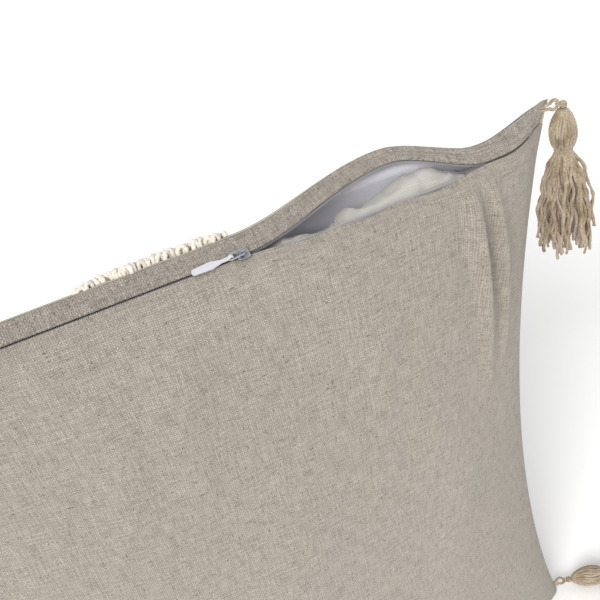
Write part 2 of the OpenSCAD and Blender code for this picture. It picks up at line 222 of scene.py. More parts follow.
def cut_up(piece, parts):
    """Splits a piece by the places of its faces. The parts keep the whole piece's normals, so no cut shows."""
    mesh = piece.data
    normals = np.empty(len(mesh.vertices) * 3, np.float32)
    mesh.vertex_normals.foreach_get("vector", normals)
    kept = mesh.attributes.new("kept_normal", "FLOAT_VECTOR", "POINT")
    kept.data.foreach_set("vector", normals)
    made = []
    for name, wanted in parts:
        part = bpy.data.objects.new(name, mesh.copy())
        part.data.name = name
        bm = bmesh.new()
        bm.from_mesh(part.data)
        bmesh.ops.delete(bm, geom=[f for f in bm.faces if not wanted(f.calc_center_median())], context="FACES")
        bm.to_mesh(part.data)
        bm.free()
        bpy.context.scene.collection.objects.link(part)
        values = np.empty(len(part.data.vertices) * 3, np.float32)
        part.data.attributes["kept_normal"].data.foreach_get("vector", values)
        part.data.normals_split_custom_set_from_vertices(values.reshape(-1, 3).tolist())
        part.data.attributes.remove(part.data.attributes["kept_normal"])
        made.append(part)
    bpy.data.objects.remove(piece, do_unlink=True)
    return made


def halves(piece, name):
    return cut_up(piece, [(name + "_left", lambda c: c.x < peak_x),
                          (name + "_right", lambda c: c.x >= peak_x)])


def attach(piece, body, nodes):
    """The piece goes with a body and stands for CAD nodes."""
    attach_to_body(piece, body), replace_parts(piece, *nodes), piece


def ride_lip(parts, node):
    """The left part covers the lip from the slider to the mouth's peak, the right part from there to the zip's end;
    both are baked in place and stand for the CAD node.
    """
    left, right = parts
    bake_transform(left)
    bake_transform(right)
    for part in parts:
        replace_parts(part, node), part


def cut_flat(piece, *rests_on):
    """Reads the piece's UV map, its cloth measured along its threads; nothing is done with it."""
    threads = np.empty(len(piece.data.uv_layers["cloth"].data) * 2, np.float32)
    piece.data.uv_layers["cloth"].data.foreach_get("uv", threads)


def noise3(co, scale, seed):
    """Smooth noise from a few crossing waves, the same on every run."""
    rng = np.random.default_rng(seed)
    total = np.zeros(co.shape[:-1])
    for k in range(7):
        direction = rng.normal(size=3)
        direction /= np.linalg.norm(direction)
        total += np.sin(co @ direction * scale * rng.uniform(0.6, 1.6) * 2 * np.pi + rng.uniform(0, 6.28))
    return total / 7


# %% [markdown]
# Materials are node trees. One function adds a node with its settings and its links and gives back
# the socket that it feeds on, and one turns the hex colours of a paint card into the linear
# numbers that the shader needs.

# %% Material helpers
def linear(hex_colour, alpha=1.0):
    channels = [int(hex_colour[i:i + 2], 16) / 255 for i in (1, 3, 5)]
    return [c / 12.92 if c <= 0.04045 else ((c + 0.055) / 1.055) ** 2.4 for c in channels] + [alpha]


def add(tree, kind, links=None, inputs=None, out=0, **settings):
    node = tree.nodes.new(kind)
    for key, value in settings.items():
        setattr(node, key, value)
    for key, value in (inputs or {}).items():
        node.inputs[key].default_value = value
    for key, socket in (links or {}).items():
        tree.links.new(socket, node.inputs[key])
    return node.outputs[out]


def start_material(name):
    material = bpy.data.materials.new(name)
    material.use_nodes = True
    tree = material.node_tree
    return material, tree, tree.nodes["Principled BSDF"]


def set_shader(shader, **values):
    for socket, value in values.items():
        shader.inputs[socket.replace("_", " ")].default_value = value


def give(piece, material):
    piece.data.materials.clear()
    piece.data.materials.append(material)
    return piece

# %% [markdown]
# Linen is a plain weave: each thread goes over one and under the next. A checker tells which way a
# crossing goes, a wave rounds each thread, and noise stretched along the threads gives the short
# slubs and the changes of tone that flax has. The real threads are about 0.9 mm apart; they are
# drawn 1.1 to 1.3 mm apart so that they show. Short dark flecks are bits of husk in the yarn.

# %% The weave's height and threads
WAVE_PERIOD = 2 * math.pi / 20
SLUBS_PER_M = 95
FLECKS = (((210, 900, 1), 0.735), ((900, 260, 1), 0.745))
MATT = {"IOR": 1.5, "Specular_IOR_Level": 0.25, "Sheen_Roughness": 0.5}


def weave(tree, uv, pitch):
    """The place on the cloth with a little wander, the height of a crossing and its thread's tone."""
    wander = add(tree, "ShaderNodeTexNoise", {"Vector": uv}, {"Scale": 90.0, "Detail": 2.0}, out="Color")
    shift = add(tree, "ShaderNodeVectorMath", {0: wander}, {1: (0.5, 0.5, 0.5)}, operation="SUBTRACT")
    place = add(tree, "ShaderNodeVectorMath", {0: shift, 2: uv}, {1: (pitch * 0.9,) * 3},
                operation="MULTIPLY_ADD")
    over = add(tree, "ShaderNodeTexChecker", {"Vector": place}, {"Scale": 1 / pitch}, out="Fac")
    height, threads = [], []
    for axis, stretch in (("X", (0.8 / pitch, SLUBS_PER_M, 1)), ("Y", (SLUBS_PER_M, 0.8 / pitch, 1))):
        height.append(add(tree, "ShaderNodeTexWave", {"Vector": place}, {"Scale": WAVE_PERIOD / pitch},
                          out="Fac", bands_direction=axis))
        along = add(tree, "ShaderNodeMapping", {"Vector": place}, {"Scale": stretch})
        threads.append(add(tree, "ShaderNodeTexNoise", {"Vector": along}, {"Scale": 1.0, "Detail": 3.0}))
    crossing = add(tree, "ShaderNodeMix", {0: over, 2: height[0], 3: height[1]})
    thread = add(tree, "ShaderNodeMix", {0: over, 2: threads[0], 3: threads[1]})
    return place, crossing, thread


def flecked(tree, place, colour, fleck):
    for stretch, floor_at in FLECKS:
        along = add(tree, "ShaderNodeMapping", {"Vector": place}, {"Scale": stretch})
        spot = add(tree, "ShaderNodeTexNoise", {"Vector": along}, {"Scale": 1.0, "Detail": 1.0})
        mark = add(tree, "ShaderNodeMapRange", {"Value": spot},
                   {"From Min": floor_at - 0.03, "From Max": floor_at, "To Max": 0.8})
        colour = add(tree, "ShaderNodeMix", {0: mark, 6: colour}, {7: linear(fleck)}, 2, data_type="RGBA")
    return colour

# %% [markdown]
# One function turns that weave into any of the cover's cloths: two tones of thread, with painted
# shade that darkens the colour where the threads dip, broad patches of wear, a bump for the threads
# and a soft sheen for the fibres that stand off them. The lining is fine and slick; the insert's cloth has no clear
# thread.

# %% Cloths
def woven(name, tones, pitch, fleck=None, tone=0.6, depth_mm=0.25, roughness=0.92, mottle=0.10):
    material, tree, shader = start_material(name)
    uv = add(tree, "ShaderNodeUVMap", uv_map="cloth")
    place, crossing, thread = weave(tree, uv, pitch)
    spread = add(tree, "ShaderNodeMapRange", {"Value": thread},
                 {"From Min": 0.5 - tone / 2, "From Max": 0.5 + tone / 2})
    broad = add(tree, "ShaderNodeTexNoise", {"Vector": uv}, {"Scale": 14.0, "Detail": 4.0})
    # painted shade: the colour is darkened where a crossing dips, standing in for the shade between threads
    shade = add(tree, "ShaderNodeMath", {0: crossing}, {1: 0.40, 2: 0.66}, operation="MULTIPLY_ADD")
    patch = add(tree, "ShaderNodeMath", {0: broad}, {1: mottle, 2: 1 - mottle / 2},
                operation="MULTIPLY_ADD")
    shade = add(tree, "ShaderNodeMath", {0: shade, 1: patch}, operation="MULTIPLY")
    light, dark = (linear(tone_hex) for tone_hex in tones)
    colour = add(tree, "ShaderNodeMix", {0: spread}, {6: dark, 7: light}, 2, data_type="RGBA")
    if fleck:
        colour = flecked(tree, place, colour, fleck)
    shade = add(tree, "ShaderNodeCombineColor", {0: shade, 1: shade, 2: shade})
    colour = add(tree, "ShaderNodeMix", {6: colour, 7: shade}, {0: 1.0}, 2,
                 data_type="RGBA", blend_type="MULTIPLY")
    tree.links.new(colour, shader.inputs["Base Color"])
    lift = add(tree, "ShaderNodeMath", {0: thread, 1: crossing, 2: crossing}, operation="MULTIPLY_ADD")
    bump = add(tree, "ShaderNodeBump", {"Height": lift}, {"Strength": 0.75, "Distance": depth_mm / 1000})
    tree.links.new(bump, shader.inputs["Normal"])
    set_shader(shader, Roughness=roughness, Sheen_Weight=0.25, **MATT)
    return material


HUSK = "#5d4a3a"
linen = woven("woven_oatmeal_linen", ("#c1b8ad", "#8f867b"), 0.0011, HUSK, tone=0.40, depth_mm=0.3)
flap_linen = woven("folded_oatmeal_linen", ("#bfb6ab", "#857c71"), 0.0013, HUSK, tone=0.34, depth_mm=0.5)
front_cloth = woven("woven_cream_cotton", ("#cfc4b1", "#b4a893"), 0.0016, tone=0.5)
lining_cloth = woven("plain_white_lining", ("#f3f2fb", "#e9e8f2"), 0.0006, tone=0.7, depth_mm=0.04,
                     roughness=0.75, mottle=0.05)
insert_cloth = woven("nonwoven_white_insert_cloth", ("#cfccc7", "#bbb8b2"), 0.0008, tone=0.7,
                     depth_mm=0.05, roughness=0.85, mottle=0.06)
tape_cloth = woven("woven_polyester_zip_tape", ("#b9b8bb", "#9d9ca0"), 0.0009, tone=0.5,
                   depth_mm=0.12, roughness=0.7)
print("cloths", [m.name for m in bpy.data.materials])

# %% [markdown]
# Yarn is fibre twisted together. Its geometry already has the two plies, so the material adds the
# fine fibres: noise in the object's own space, with a strong sheen for the fuzz that stands off
# spun cotton. Nylon, zinc and enamel are smooth, so they need only small changes of roughness and
# the fine marks of wear.

# %% Yarn, nylon and metal
def fibre(name, light, dark, scale=900.0, roughness=0.95, sheen=0.5):
    material, tree, shader = start_material(name)
    place = add(tree, "ShaderNodeTexCoord", out="Object")
    fine = add(tree, "ShaderNodeTexNoise", {"Vector": place}, {"Scale": scale, "Detail": 3.0})
    broad = add(tree, "ShaderNodeTexNoise", {"Vector": place}, {"Scale": scale / 9, "Detail": 2.0})
    both = add(tree, "ShaderNodeMath", {0: fine, 1: broad}, operation="ADD")
    share = add(tree, "ShaderNodeMapRange", {"Value": both}, {"From Min": 0.75, "From Max": 1.2})
    colour = add(tree, "ShaderNodeMix", {0: share}, {6: linear(dark), 7: linear(light)}, 2,
                 data_type="RGBA")
    tree.links.new(colour, shader.inputs["Base Color"])
    bump = add(tree, "ShaderNodeBump", {"Height": fine}, {"Strength": 0.6, "Distance": 0.0002})
    tree.links.new(bump, shader.inputs["Normal"])
    set_shader(shader, Roughness=roughness, Sheen_Weight=sheen, Specular_IOR_Level=0.2)
    return material


def hard(name, colour, low, high, scale, **values):
    material, tree, shader = start_material(name)
    place = add(tree, "ShaderNodeTexCoord", out="Object")
    wear = add(tree, "ShaderNodeTexNoise", {"Vector": place}, {"Scale": scale, "Detail": 4.0})
    rough = add(tree, "ShaderNodeMapRange", {"Value": wear},
                {"From Min": 0.3, "From Max": 0.7, "To Min": low, "To Max": high})
    tree.links.new(rough, shader.inputs["Roughness"])
    bump = add(tree, "ShaderNodeBump", {"Height": wear}, {"Strength": 0.15, "Distance": 0.0001})
    tree.links.new(bump, shader.inputs["Normal"])
    set_shader(shader, Base_Color=linear(colour), **values)
    return material


tuft_yarn = fibre("looped_cream_cotton_tuft_yarn", "#eeeae2", "#d9d0c2", 700.0)
tassel_yarn = fibre("spun_ecru_cotton_yarn", "#b3a592", "#857258", sheen=0.3)
stitch_thread = fibre("spun_polyester_thread", "#b9b0a4", "#a0968a", 1500.0, roughness=0.6, sheen=0.2)
filling_fibre = fibre("carded_polyester_filling", "#f7f7f7", "#e8e8ea", 300.0, sheen=0.8)
nylon = hard("moulded_nylon_coil", "#a8a7ab", 0.35, 0.5, 900.0, IOR=1.53)
zip_metal = hard("die_cast_nickel_plated_zinc", "#b9bbc0", 0.22, 0.42, 500.0, Metallic=1.0)
pull_enamel = hard("baked_enamel", "#cbcad1", 0.25, 0.4, 400.0, IOR=1.5, Coat_Weight=0.3)

# %% [markdown]
# The back is one sheet of linen pulled over a soft insert. A pressure simulation swells it between
# its sewn edges, and giving the cloth a little more length than its outline has makes it buckle
# into the soft hollows that linen shows near seams. The seams, the top hem and the flat base stay
# where they are sewn. A cap on the movement keeps the cover inside the frame.

# %% Cloth simulation
def relax(piece, held, pressure, spare, cap, frames=16, bending=3.0):
    before = points_of(piece)
    group = piece.vertex_groups.new(name="held")
    for k in np.nonzero(held)[0]:
        group.add([int(k)], 1.0, "REPLACE")
    cloth = piece.modifiers.new("relax", "CLOTH")
    cloth.settings.quality = 4
    cloth.settings.mass = 0.25
    cloth.settings.tension_stiffness = cloth.settings.compression_stiffness = 20
    cloth.settings.shear_stiffness = 8
    cloth.settings.bending_stiffness = bending
    cloth.settings.use_pressure = True
    cloth.settings.uniform_pressure_force = pressure
    cloth.settings.shrink_min = -spare
    cloth.settings.effector_weights.gravity = 0
    cloth.settings.vertex_group_mass = "held"
    cloth.collision_settings.use_collision = False
    cloth.collision_settings.use_self_collision = False
    cloth.point_cache.frame_start, cloth.point_cache.frame_end = 1, frames
    for f in range(1, frames + 1):
        bpy.context.scene.frame_set(f)
    shape = piece.evaluated_get(bpy.context.evaluated_depsgraph_get())
    after = np.empty(len(before) * 3)
    shape.data.vertices.foreach_get("co", after)
    after = after.reshape(-1, 3)
    piece.modifiers.remove(cloth)
    piece.vertex_groups.remove(group)
    bpy.context.scene.frame_set(1)
    move = after - before
    size = np.linalg.norm(move, axis=1, keepdims=True)
    move *= np.minimum(1, cap / np.maximum(size, 1e-9))
    print(piece.name, "moved at most", round(float(size.max()) * 1000, 1), "mm, kept to", cap * 1000)
    return before + move


def spaced(n, power=0.75):
    """Places from -1 to 1, closer together near the ends."""
    t = np.linspace(-1, 1, n)
    return np.sign(t) * (1 - (1 - np.abs(t)) ** (1 / power)) * 0.5 + t * 0.5


across_u = spaced(116)
up_v = np.concatenate([[-1, -0.66, -0.33], 0.5 + 0.5 * spaced(112)])
U, V = np.meshgrid(across_u, up_v, indexing="ij")


def held_mask(u, v, top):
    return (np.abs(u) > 0.995) | (v < 0.012) | (v > top)


def relaxed_panel(name, points, top, flip, spare, seed):
    """Swells one face and returns its grid of points."""
    puckers = noise3(points, 22, seed) * 0.0012 * dome(U, np.maximum(V, 0))
    start = points.copy()
    start[..., 1] += puckers
    piece = cloth_piece(name + "_trial", start, flip)
    moved = relax(piece, held_mask(U, V, top).ravel(), 2.0, spare, 0.008).reshape(start.shape)
    bpy.data.objects.remove(piece, do_unlink=True)
    settle = smooth((1 - np.abs(U)) / 0.05) * smooth((V - 0.01) / 0.05) * smooth((top - V) / 0.07)
    return start + (moved - start) * settle[..., None]


back_points = relaxed_panel("back", back_at(U, V), 0.999, False, 0.022, 5)
print("back", back_points.reshape(-1, 3).min(0), back_points.reshape(-1, 3).max(0))

# %% [markdown]
# A pillow that has been handled keeps a few long soft ridges, here falling from the zip's end down
# the cover, and small puckers where the hem is sewn to the zip. Each ridge is a line on the back
# with a soft rounded section. They are moved out along the cloth after it has settled.

# %% Ridges and hem
def finer(values, times, axis):
    """The same grid with smooth places added between its rows or columns."""
    v = np.moveaxis(np.asarray(values, float), axis, 0)
    t = np.linspace(0, len(v) - 1, (len(v) - 1) * times + 1)
    i = np.minimum(t.astype(int), len(v) - 2)
    f = (t - i).reshape((-1,) + (1,) * (v.ndim - 1))
    w = np.concatenate([2 * v[:1] - v[1:2], v, 2 * v[-1:] - v[-2:-1]])
    a, b, c, d = w[i], w[i + 1], w[i + 2], w[i + 3]
    return np.moveaxis(b + 0.5 * f * (c - a + f * (2 * a - 5 * b + 4 * c - d + f * (3 * (b - c) + d - a))), 0, axis)


def ridge_along(points, line, width, rise):
    """Raises a rounded ridge along a line of (x, z) places, fading at its ends."""
    x, z = points[..., 0], points[..., 2]
    total = np.zeros(x.shape)
    line = np.array(line)
    for k in range(len(line) - 1):
        a, b = line[k], line[k + 1]
        d = b - a
        t = np.clip(((x - a[0]) * d[0] + (z - a[1]) * d[1]) / (d @ d), 0, 1)
        away = np.hypot(x - a[0] - t * d[0], z - a[1] - t * d[1])
        share = (k + t) / (len(line) - 1)
        fade = np.sin(np.pi * np.clip(share * 0.94 + 0.03, 0, 1)) ** 0.6
        total = np.maximum(total, rise * fade * np.exp(-(away / width) ** 2))
    return total


ridges = [([(0.1715, 0.436), (0.1683, 0.4205), (0.1679, 0.404), (0.1688, 0.384), (0.168, 0.355),
            (0.165, 0.31)], 0.0048, 0.0105),
          ([(0.1560, 0.436), (0.1531, 0.4175), (0.1523, 0.400), (0.1516, 0.381), (0.152, 0.353),
            (0.149, 0.30)], 0.0055, 0.0120),
          ([(0.060, 0.425), (0.078, 0.370), (0.070, 0.310)], 0.013, 0.0035),
          ([(-0.010, 0.425), (-0.040, 0.380), (-0.045, 0.320)], 0.015, 0.0032),
          ([(-0.100, 0.420), (-0.075, 0.370), (-0.090, 0.310)], 0.014, 0.0030),
          ([(0.100, 0.330), (0.118, 0.250), (0.105, 0.170)], 0.018, 0.0035),
          ([(0.010, 0.300), (-0.010, 0.230), (0.015, 0.160)], 0.020, 0.0030)]
back_points = finer(finer(back_points, 2, 0), 2, 1)
back_points[..., 2] = np.maximum(back_points[..., 2], 0)
back_u, back_v = finer(across_u, 2, 0), finer(up_v, 2, 0)
out = sum(ridge_along(back_points, line, width, rise) for line, width, rise in ridges)
back_points[..., 1] -= out * smooth((0.999 - back_v) / 0.02)


def hem_rows(points, roll, turn_in, count=7):
    """The hem: the last row rolls over with a small radius and returns inside."""
    along = points[:, -1] - points[:, -3]
    along /= np.linalg.norm(along, axis=1, keepdims=True)
    run = np.gradient(points[:, -1], axis=0)
    run /= np.linalg.norm(run, axis=1, keepdims=True)
    inward = np.cross(along, run)
    rows = []
    for k in range(1, count + 1):
        a = np.pi * k / count
        rows.append(points[:, -1] + along * math.sin(a) * roll + inward * (1 - math.cos(a)) * roll)
    for k in range(1, 4):
        rows.append(points[:, -1] + inward * 2 * roll - along * turn_in * k / 3)
    return np.concatenate([points, np.stack(rows, 1)], 1)


run_x = back_points[:, -1, 0]
lower_sag = (0.0032 + 0.0008 * np.sin(run_x * 150)) * smooth((run_x - slider_x) / 0.05) * smooth((zip_half - run_x) / 0.03)
near_hem = smooth((back_v - back_v[-14]) / (back_v[-1] - back_v[-14]))
back_points[..., 2] -= lower_sag[:, None] * near_hem
back_points[..., 1] -= lower_sag[:, None] * near_hem * 0.4
pinned = np.minimum(1, (1 - np.abs(back_u)) / 0.02)[:, None]
back_whole = hem_rows(back_points, 0.0009, 0.009)
back_whole[:, len(back_v):, 1] = back_points[:, -1:, 1] + (back_whole[:, len(back_v):, 1] - back_points[:, -1:, 1]) * pinned
back_panel = give(cloth_piece("back_panel_linen", back_whole), linen)
attach(back_panel, "pillow", ["back_panel"])
cut_flat(back_panel, "insert_back")

# %% [markdown]
# The front is a cream cloth of the same outline. It carries the mouth's upper lip, so its top is
# cut at the hinge's height and again below the widest place of the mouth. The two upper parts are
# built turned open with the lip, while the rest stays still.

# %% Front panel
split_v = hinge_z / ridge_z(np.array(0.0))
up_v_front = np.concatenate([up_v[up_v < split_v - 0.003], [split_v], up_v[up_v > split_v + 0.003]])
V_back = V
U, V = np.meshgrid(across_u, up_v_front, indexing="ij")
front_points = relaxed_panel("front", front_at(U, V), 0.72, True, 0.012, 9)
front_whole = give(cloth_piece("front_whole", front_points, True), front_cloth)
cut_at = float(front_points[len(across_u) // 2, np.argmin(np.abs(up_v_front - split_v)), 2])
print("front is cut at height", cut_at)
# the upper parts reach this far down behind the lower one, so no gap opens as the lip turns
lap = 0.009


front_low, *front_lip = cut_up(front_whole, [("front_panel_cloth", lambda c: c.z <= cut_at),
                                             ("front_panel_lip_left", lambda c: c.z > cut_at - lap and c.x < peak_x),
                                             ("front_panel_lip_right", lambda c: c.z > cut_at - lap and c.x >= peak_x)])
for piece in front_lip:
    places = points_of(piece).copy()
    under = cut_at - places[:, 2]
    places[:, 1] -= np.where(under > 0.0001, 0.0005 + 0.22 * under, 0)
    set_points(piece, places)
attach(front_low, "pillow", ["front_panel"])
ride_lip(front_lip, "front_panel")
for piece in (front_low, *front_lip):
    cut_flat(piece, "insert_front")

# %% [markdown]
# Behind the front hangs a thin white lining. It shows in the mouth as a smooth pale band, so it
# runs up under the flap. It follows the front panel's own shape, a little further in.

# %% Lining
def inside(points, distance):
    """The same grid moved inwards along its own normals."""
    a = np.gradient(points, axis=0)
    b = np.gradient(points, axis=1)
    n = np.cross(a, b)
    n /= np.maximum(np.linalg.norm(n, axis=2, keepdims=True), 1e-12)
    if (n[points.shape[0] // 2, points.shape[1] // 2, 1]) > 0:
        n = -n
    return points + n * distance


columns = np.nonzero(np.abs(across_u) < 0.955)[0]
rows = np.nonzero((up_v_front > 0.03) & (up_v_front < 0.992))[0]
lining_points = inside(front_points, 0.0024)[columns[0]:columns[-1] + 1, rows[0]:rows[-1] + 1]
lining_v = up_v_front[rows[0]:rows[-1] + 1][None, :]
falls = smooth((lining_v - 0.80) / 0.12) * smooth((1.004 - lining_v) / 0.03)
soft_folds = noise3(lining_points * np.array([1.6, 1, 0.5]), 16, 3) * 0.0008
lining_points[..., 1] -= np.abs(soft_folds) + 0.015 * falls * mouth(lining_points[..., 0])
lining_whole = give(cloth_piece("lining_whole", lining_points, False), lining_cloth)
lining_low, *lining_lip = cut_up(lining_whole, [("front_lining_sheet", lambda c: c.z <= cut_at),
                                                ("front_lining_lip_left", lambda c: c.z > cut_at and c.x < peak_x),
                                                ("front_lining_lip_right", lambda c: c.z > cut_at and c.x >= peak_x)])
attach(lining_low, "pillow", ["front_lining"])
ride_lip(lining_lip, "front_lining")
for piece in (lining_low, *lining_lip):
    cut_flat(piece, "front_panel")

# %% [markdown]
# The flap is one strip of linen folded double and sewn over the zip. Its section is a flattened
# ring: a soft round at the ridge, a dimple where the stitches draw it in, a gentle swell below and
# a crisp fold at its free edge. Sweeping that section along the zip keeps the folded edge sharp.

# %% Flap
section = [(0.5, -2.0), (-0.5, -1.7), (-1.0, -1.0), (-0.9, -0.2), (-0.2, 0.4), (1.2, 0.6), (2.8, 0.55), (3.8, 0.2),
           (4.35, -0.05), (4.9, 0.2), (6.2, 0.6), (8.2, 0.75), (10.2, 0.6), (11.8, 0.3), (12.7, -0.1), (13.0, -0.7),
           (12.9, -1.3), (12.4, -1.75), (11.4, -1.95), (8.0, -2.0), (4.0, -2.0)]
section = np.array(section) / 1000


def round_section(points, rounds=2):
    for _ in range(rounds):
        after = np.roll(points, -1, axis=0)
        points = np.stack([points * 0.75 + after * 0.25, points * 0.25 + after * 0.75], 1).reshape(-1, 2)
    return points


section = round_section(section, 1)
flap_u = spaced(420, 0.9)
fu = flap_u[:, None] * np.ones(len(section))
wobble = noise3(np.stack([fu * 0.225, fu * 0, fu * 0], -1), 26, 11) * 0.0005
pucker = np.sin(fu * half_w * 2 * np.pi / 0.0045) * 0.00013
ft = section[None, :, 0] * (1 + wobble * 20)
close_corner = smooth((1 - np.abs(fu)) / 0.02)
fn = section[None, :, 1] + wobble * (section[None, :, 1] > -0.001) + pucker * (np.abs(ft - 0.0043) < 0.002)
flap_points = opened(flap_at(fu, ft * (0.35 + 0.65 * close_corner),
                             fn * (0.5 + 0.5 * close_corner) - 0.0005 * (1 - close_corner)))
girth = np.concatenate([[0], np.cumsum(np.linalg.norm(np.diff(section, axis=0), axis=1))])
flap_uv = np.stack([fu * half_w, girth[None, :] * np.ones_like(fu)], -1)


def tube_faces(rings, sides, start=0, flip=False, caps=True):
    i, j = np.meshgrid(np.arange(rings - 1), np.arange(sides), indexing="ij")
    k = (j + 1) % sides
    f = np.stack([i * sides + j, (i + 1) * sides + j, (i + 1) * sides + k, i * sides + k], -1).reshape(-1, 4) + start
    f = [tuple(q) for q in (f[:, ::-1] if flip else f)]
    if caps:
        last = start + (rings - 1) * sides
        ends = [tuple(range(start, start + sides)), tuple(range(last, last + sides))]
        ends = [ends[0][::-1], ends[1]] if flip else [ends[0], ends[1][::-1]]
        f += ends
    return f


flap_whole = give(new_piece("flap_whole", flap_points.reshape(-1, 3), tube_faces(len(flap_u), len(section), flip=True),
                            flap_uv.reshape(-1, 2)), flap_linen)
ride_lip(halves(flap_whole, "zipper_flap"), "zipper_flap")

# %% [markdown]
# Cords, coils and yarns are all tubes swept along a line. One function sweeps many lines at once
# with a section that may have two plies and may turn as it goes, which is how twisted yarn looks.

# %% Tubes
PLY_DEPTH = 0.24


def sweep(paths, radius, sides=8, plies=1, turn=0.0, name="tubes"):
    """Mesh of tubes. paths is an array (count, points, 3); turn is the twist in radians per metre."""
    paths = np.asarray(paths, float)
    count, length, _ = paths.shape
    tangent = np.gradient(paths, axis=1)
    tangent /= np.maximum(np.linalg.norm(tangent, axis=2, keepdims=True), 1e-12)
    helper = np.where(np.abs(tangent[..., 2:3]) > 0.9, [[[1.0, 0, 0]]], [[[0, 0, 1.0]]])
    a = np.cross(tangent, helper)
    a /= np.maximum(np.linalg.norm(a, axis=2, keepdims=True), 1e-12)
    for k in range(1, length):
        side = a[:, k - 1] - (a[:, k - 1] * tangent[:, k]).sum(1, keepdims=True) * tangent[:, k]
        a[:, k] = side / np.maximum(np.linalg.norm(side, axis=1, keepdims=True), 1e-12)
    b = np.cross(tangent, a)
    run = np.concatenate([np.zeros((count, 1)), np.cumsum(np.linalg.norm(np.diff(paths, axis=1), axis=2), 1)], 1)
    angle = np.linspace(0, 2 * np.pi, sides, endpoint=False)
    phase = np.arange(count)[:, None] * 2.4
    lobes = np.ones((count, length, sides))
    if plies > 1:
        lobes += PLY_DEPTH * np.cos(plies * (angle - (run * turn + phase)[:, :, None]))
    r = np.broadcast_to(np.asarray(radius, float), (count, length))[:, :, None] * lobes
    p = (paths[:, :, None] + a[:, :, None] * (np.cos(angle)[None, None, :] * r)[..., None]
         + b[:, :, None] * (np.sin(angle)[None, None, :] * r)[..., None])
    faces = []
    for c in range(count):
        faces += tube_faces(length, sides, c * length * sides)
    return new_piece(name, p.reshape(-1, 3), faces)


def join(name, made):
    """Joins meshes into one piece by hand, keeping their smooth shading."""
    bm = bmesh.new()
    for piece in made:
        piece.data.transform(piece.matrix_world)
        bm.from_mesh(piece.data)
    mesh = bpy.data.meshes.new(name)
    bm.to_mesh(mesh)
    bm.free()
    for piece in made:
        bpy.data.objects.remove(piece, do_unlink=True)
    piece = bpy.data.objects.new(name, mesh)
    bpy.context.scene.collection.objects.link(piece)
    return piece


# %% [markdown]
# The row of stitches sits in the flap's dimple: each stitch is a short thread that dives into the
# cloth at both ends.

# %% Stitches
stitch_pitch, stitch_l = 0.0045, 0.0031
stitch_x = np.arange(-straight * half_w, straight * half_w, stitch_pitch)
s = np.linspace(0, 1, 7)
su = (stitch_x[:, None] + s[None, :] * stitch_l) / float(side_x(np.array(0.434)))
sn = -0.00045 + 0.0006 * np.sin(np.pi * s)[None, :] ** 0.5 + 0 * su
stitches = give(sweep(opened(flap_at(su, 0.00435 + 0 * su, sn)), 0.00022, 6, name="stitches_whole"), stitch_thread)
ride_lip(halves(stitches, "flap_stitches"), "flap_stitching")

# %% [markdown]
# A nylon zip has two woven tapes, each with one coiled filament along its edge. The coil is a real
# helix with a 1 mm pitch, flattened a little as the sewing presses it. Left of the slider the two
# coils lie side by side; right of it they part around the slider's neck.

# %% Zip
coil_d, pitch, zip_t = 0.0018, 0.0010, flap_w + zip_gap / 2
zip_x_per_u = float(side_x(np.array(zip_place[2])))
coil_n = -(flap_t + gap + coil_d / 2)


def coil_t(x):
    return coil_d / 2 + gap / 2 + smooth((x - slider_x + 0.0075) / 0.00375) * (zip_gap - 2 * gap) / 2


def coil_path(side, moved):
    steps = 9
    turns = int(2 * zip_half / pitch)
    a = np.arange(turns * steps + 1) / steps
    x = -zip_half + a * pitch
    swing = 2 * np.pi * a * side
    u = x / zip_x_per_u
    t = zip_t + side * coil_t(x) + 0.00066 * np.cos(swing)
    n = coil_n + 0.00062 * np.sin(swing)
    p = flap_at(u, t, n)
    return (opened(p) if moved else p)[None]


upper_coil = give(sweep(coil_path(-1, True), 0.00024, 5, name="upper_coil_whole"), nylon)
ride_lip(halves(upper_coil, "zipper_coil_upper"), "zipper_coil_upper")
lower_coil = give(sweep(coil_path(1, False), 0.00024, 5, name="zipper_coil_lower_helix"), nylon)
attach(lower_coil, "pillow", ["zipper_coil_lower"])


def tape(name, t_from, t_to, n_at, moved, along=300, across=9):
    u = np.linspace(-zip_half, zip_half, along) / zip_x_per_u
    t = np.linspace(t_from, t_to, across)
    ring_t = np.concatenate([t, t[::-1]])
    ring_n = np.concatenate([np.full(across, n_at), np.full(across, n_at - 0.0006)])
    uu = u[:, None] * np.ones(len(ring_t))
    rib = 0.00005 * np.sin(ring_t * 2 * np.pi / 0.0016)
    p = flap_at(uu, ring_t[None] + 0 * uu, (ring_n + rib)[None] + 0 * uu)
    uv = np.stack([uu * half_w, np.concatenate([t, t[::-1] + 0.02])[None] + 0 * uu], -1)
    return give(new_piece(name, (opened(p) if moved else p).reshape(-1, 3),
                          tube_faces(along, len(ring_t), flip=True), uv.reshape(-1, 2)), tape_cloth)


upper_tape = tape("upper_tape_whole", zip_t - 0.0103, zip_t - 0.0030, -flap_t - gap, True)
ride_lip(halves(upper_tape, "zipper_tape_upper"), "zipper_tape_upper")
tape_rows = np.nonzero((V_back[0] > 0.90) & (V_back[0] < 0.992))[0]
tape_cols = np.nonzero(np.abs(across_u) < zip_half / zip_x_per_u)[0]
lower = back_at(*np.meshgrid(across_u, up_v, indexing="ij"))
lower_points = lower[tape_cols[0]:tape_cols[-1] + 1, tape_rows[0]:tape_rows[-1] + 1] + np.array([0, 0.0035, -0.001])
lower_tape = give(cloth_piece("zipper_tape_lower_ribbon", lower_points), tape_cloth)
attach(lower_tape, "pillow", ["zipper_tape_lower"])
for node in ("zipper_top_stops", "zipper_bottom_stop"):
    give(frame["nodes"][node], zip_metal)

# %% [markdown]
# The slider is die cast and tumbled, so every edge is a little round. Its pieces keep the frame's
# exact shapes: each is copied, its flat faces are merged, and its edges get a small bevel that
# catches the light. The link is a bent wire and the tab a stamped leaf under baked enamel.

